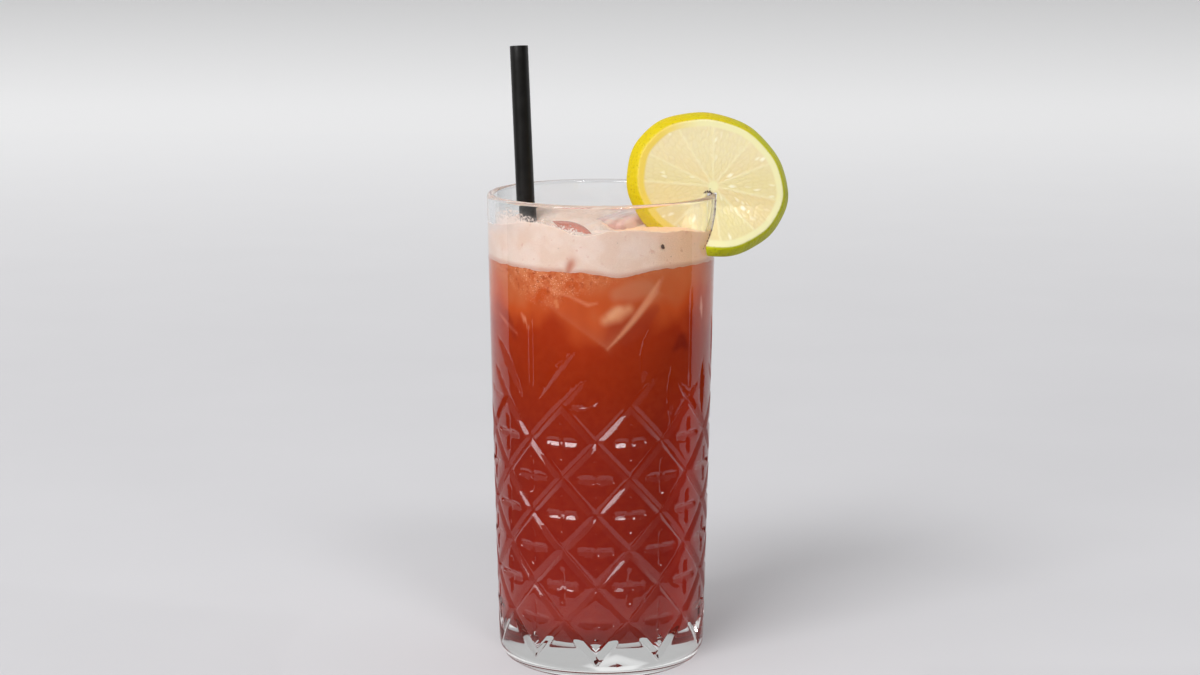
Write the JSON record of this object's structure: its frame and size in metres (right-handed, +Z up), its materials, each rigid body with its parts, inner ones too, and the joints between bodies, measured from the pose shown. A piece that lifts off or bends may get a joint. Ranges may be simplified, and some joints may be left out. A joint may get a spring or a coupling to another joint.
{
  "type": "strawberry lemonade in a cut highball glass",
  "caption": "Tall cut glass of red strawberry lemonade under pale foam, with an ice cube, a black straw and a lime wheel on the rim.",
  "frame": {"origin": "centre of the glass's flat foot", "axes": "+Z up along the glass's axis, -Y towards the front as pictured, +X to the right, where the lime wheel is"},
  "size_m": [0.1002, 0.076, 0.2051],
  "materials": {
    "glass": "clear and polished, with cut facets",
    "drink": "cloudy red liquid",
    "foam": "fine pale pink froth",
    "ice": "frosted, melted round at its edges",
    "straw": "satin black",
    "lime": "wet flesh with a waxy yellow-green rind"
  },
  "bodies": {
    "root": {"glass": "glass", "drink": "drink", "foam": "foam", "ice_1": "ice", "straw": "straw", "lime_wheel": "lime"}
  },
  "joints": []
}
